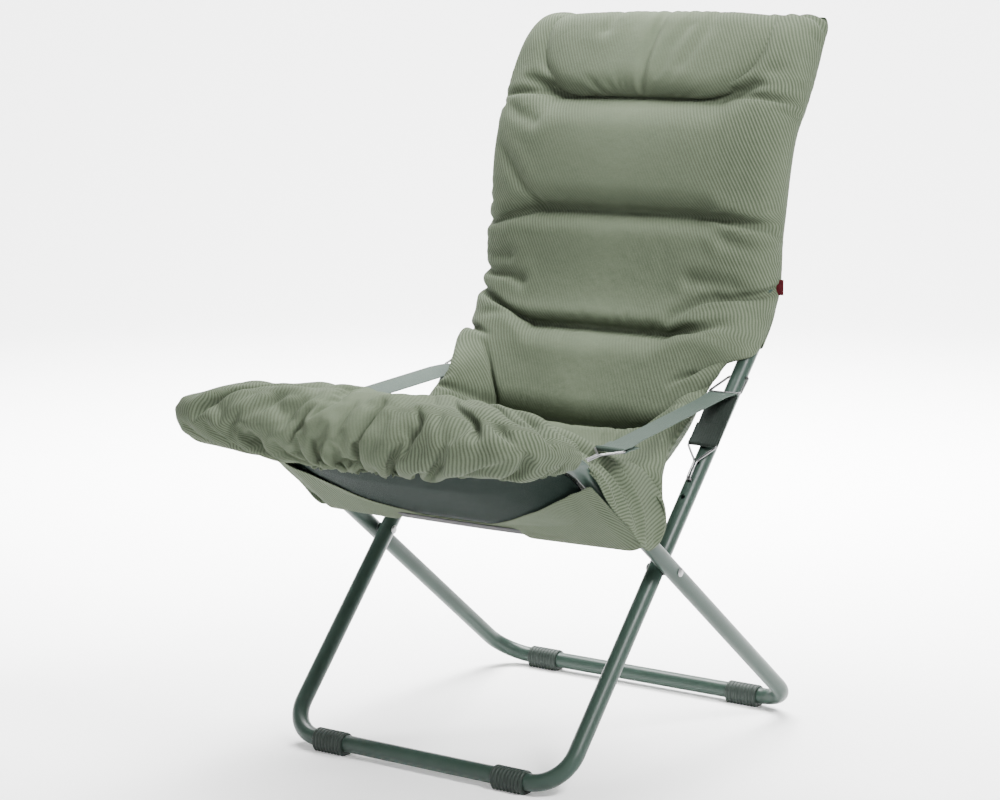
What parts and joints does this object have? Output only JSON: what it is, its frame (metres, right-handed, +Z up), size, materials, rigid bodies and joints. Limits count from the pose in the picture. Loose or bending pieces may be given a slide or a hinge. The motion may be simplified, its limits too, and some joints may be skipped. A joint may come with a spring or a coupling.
{
  "type": "folding deck chair",
  "caption": "Padded folding deck chair: crossed tube frames on a scissor pivot, hammock cushion with headrest, webbing straps with wire hooks.",
  "frame": {"origin": "on the floor, under the middle of the chair's whole width and depth", "axes": "+Z up, +X to the sitter's left, the chair faces -Y"},
  "size_m": [0.604, 0.8858, 1.0694],
  "materials": {
    "paint": "semi-gloss powder coat, dark sage green",
    "zinc": "bright zinc-plated wire and rivets",
    "foot_rubber": "matt dark green",
    "cloth": "padded twill weave, sage green, matt",
    "sling": "smooth dark green sling cloth",
    "webbing": "flat woven polyester webbing, grey-green",
    "band": "dark grey binding tape",
    "tab": "plain red tape"
  },
  "bodies": {
    "seat_frame": {"rear_leg_tube": "paint", "seat_front_tube": "paint", "seat_hood": "cloth", "hood_elastic": "cloth", "thigh_pad": "cloth", "seat_sling": "sling", "seat_under_panel": "cloth", "under_panel_band": "band", "seat_spigot_left": "paint", "seat_joint_rivet_left": "paint", "rear_foot_left": "foot_rubber", "pivot_rivet_left": "zinc", "pivot_washer_left": "foot_rubber", "seat_side_sleeve_left": "cloth", "seat_spigot_right": "paint", "seat_joint_rivet_right": "paint", "rear_foot_right": "foot_rubber", "pivot_rivet_right": "zinc", "pivot_washer_right": "foot_rubber", "seat_side_sleeve_right": "cloth"},
    "back_frame": {"front_leg_tube": "paint", "back_top_tube": "paint", "back_pad": "cloth", "headrest_pillow": "cloth", "back_pocket_rear": "cloth", "side_tab": "tab", "lumbar_pad": "cloth", "hammock_belly": "cloth", "back_spigot_left": "paint", "back_joint_rivet_left": "paint", "front_foot_left": "foot_rubber", "adjuster_strap_left": "webbing", "back_spigot_right": "paint", "back_joint_rivet_right": "paint", "front_foot_right": "foot_rubber", "adjuster_strap_right": "webbing"},
    "strap_guide_left": {"strap_guide_left": "zinc"},
    "adjuster_hook_left": {"adjuster_hook_left": "zinc"},
    "seat_hook_left": {"seat_hook_left": "zinc"},
    "strap_guide_right": {"strap_guide_right": "zinc"},
    "adjuster_hook_right": {"adjuster_hook_right": "zinc"},
    "seat_hook_right": {"seat_hook_right": "zinc"}
  },
  "joints": [
    {"name": "fold", "type": "hinge", "parent": "seat_frame", "child": "back_frame", "pos_m": [0, -0.01126, 0.284], "axis": [1, 0, 0], "range_deg": [0, 76], "deforming": ["hammock_belly", "adjuster_strap_left", "adjuster_strap_right"]},
    {"name": "strap_guide_left_swing", "type": "hinge", "parent": "back_frame", "child": "strap_guide_left", "pos_m": [0.245, 0.21133, 0.53436], "axis": [1, 0, 0], "range_deg": [-16, 4]},
    {"name": "adjuster_hook_left_swing", "type": "hinge", "parent": "back_frame", "child": "adjuster_hook_left", "pos_m": [0.245, 0.07544, 0.4003], "axis": [1, 0, 0], "range_deg": [0, 18]},
    {"name": "seat_hook_left_swing", "type": "hinge", "parent": "seat_frame", "child": "seat_hook_left", "pos_m": [0.273, -0.23516, 0.4718], "axis": [1, 0, 0], "range_deg": [-10, 0]},
    {"name": "strap_guide_right_swing", "type": "hinge", "parent": "back_frame", "child": "strap_guide_right", "pos_m": [-0.245, 0.21133, 0.53436], "axis": [1, 0, 0], "range_deg": [-16, 4]},
    {"name": "adjuster_hook_right_swing", "type": "hinge", "parent": "back_frame", "child": "adjuster_hook_right", "pos_m": [-0.245, 0.07544, 0.4003], "axis": [1, 0, 0], "range_deg": [0, 18]},
    {"name": "seat_hook_right_swing", "type": "hinge", "parent": "seat_frame", "child": "seat_hook_right", "pos_m": [-0.273, -0.23516, 0.4718], "axis": [1, 0, 0], "range_deg": [-10, 0]}
  ]
}
